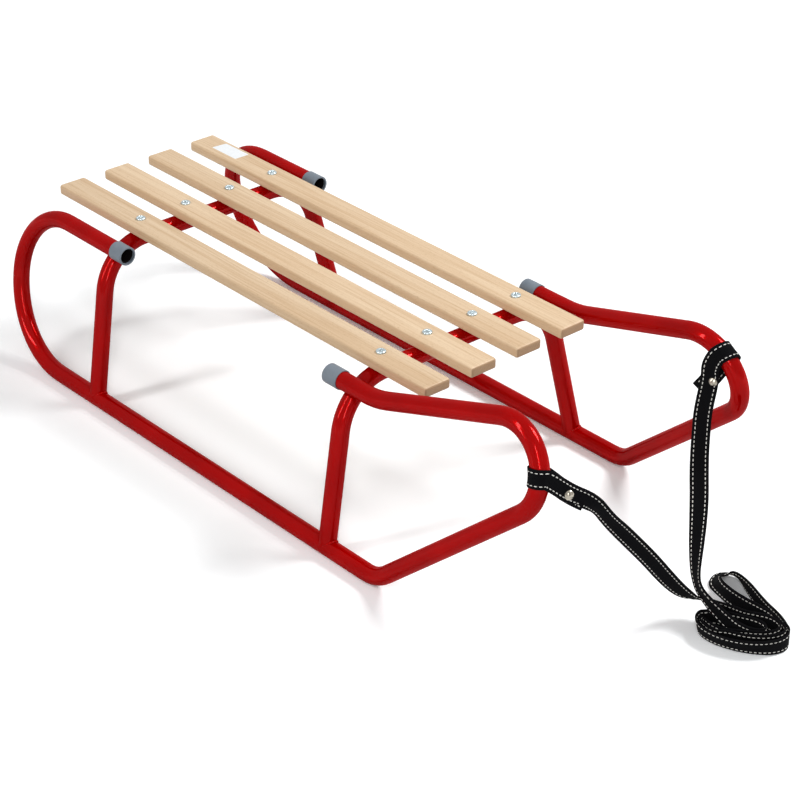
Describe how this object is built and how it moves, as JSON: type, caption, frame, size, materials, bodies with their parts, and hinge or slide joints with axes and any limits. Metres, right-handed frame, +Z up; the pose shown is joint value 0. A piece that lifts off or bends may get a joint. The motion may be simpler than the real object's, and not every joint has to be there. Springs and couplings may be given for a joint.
{
  "type": "sled",
  "caption": "Towing sled with bent steel tube runners, tube bows, lengthwise wooden seat slats and a flat webbing pull strap.",
  "frame": {"origin": "on the floor, under the middle of the sled's length and width", "axes": "+X forwards to the raised noses, +Y to the rider's left, +Z up"},
  "size_m": [0.9444, 0.348, 0.2339],
  "materials": {
    "red_paint": "glossy red enamel on steel tube",
    "beech": "planed beech, clear satin lacquer",
    "grey_plastic": "grey moulded sleeve, satin",
    "webbing": "black flat webbing with a light stitch line near each edge",
    "rivet_steel": "plain steel rivet"
  },
  "bodies": {
    "root": {"bow_front": "red_paint", "bow_rear": "red_paint", "end_sleeve_front_left": "grey_plastic", "end_sleeve_front_right": "grey_plastic", "end_sleeve_rear_left": "grey_plastic", "end_sleeve_rear_right": "grey_plastic", "runner_left": "red_paint", "runner_right": "red_paint", "slat_1": "beech", "slat_2": "beech", "slat_3": "beech", "slat_4": "beech", "strap_bundle": "webbing", "strap_lead_left": "webbing", "strap_lead_right": "webbing", "strap_loop_left": "webbing", "strap_loop_right": "webbing", "strap_rivet_left": "rivet_steel", "strap_rivet_right": "rivet_steel"}
  },
  "joints": []
}
